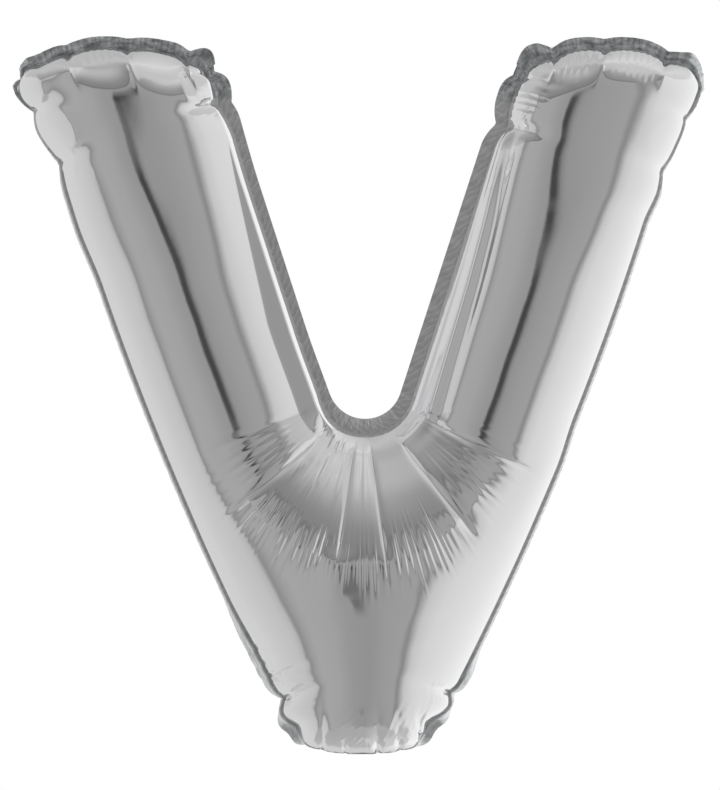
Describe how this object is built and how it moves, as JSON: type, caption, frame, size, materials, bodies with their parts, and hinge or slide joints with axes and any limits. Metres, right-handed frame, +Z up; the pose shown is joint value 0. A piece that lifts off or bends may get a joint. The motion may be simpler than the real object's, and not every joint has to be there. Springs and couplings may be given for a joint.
{
  "type": "letter foil balloon",
  "caption": "Silver foil balloon in the shape of a capital V: two dished film panels welded round the edge, with a filling neck and valve behind the foot.",
  "frame": {"origin": "the middle of the letter in the plane of the weld, between the arms just above the notch", "axes": "+X to the reader's right, +Z up the letter, the letter's front faces -Y"},
  "size_m": [0.3248, 0.0876, 0.3371],
  "materials": {
    "silver_foil": "bright metallised film, tight over the gas, with fine puckers at the weld",
    "welded_foil": "metallised film, pressed flat by the weld and slightly duller",
    "clear_film": "thin clear film"
  },
  "bodies": {
    "root": {"front_panel": "silver_foil", "back_panel": "silver_foil", "seam_border": "welded_foil", "valve_neck": "welded_foil", "valve_sleeve": "clear_film"}
  },
  "joints": []
}
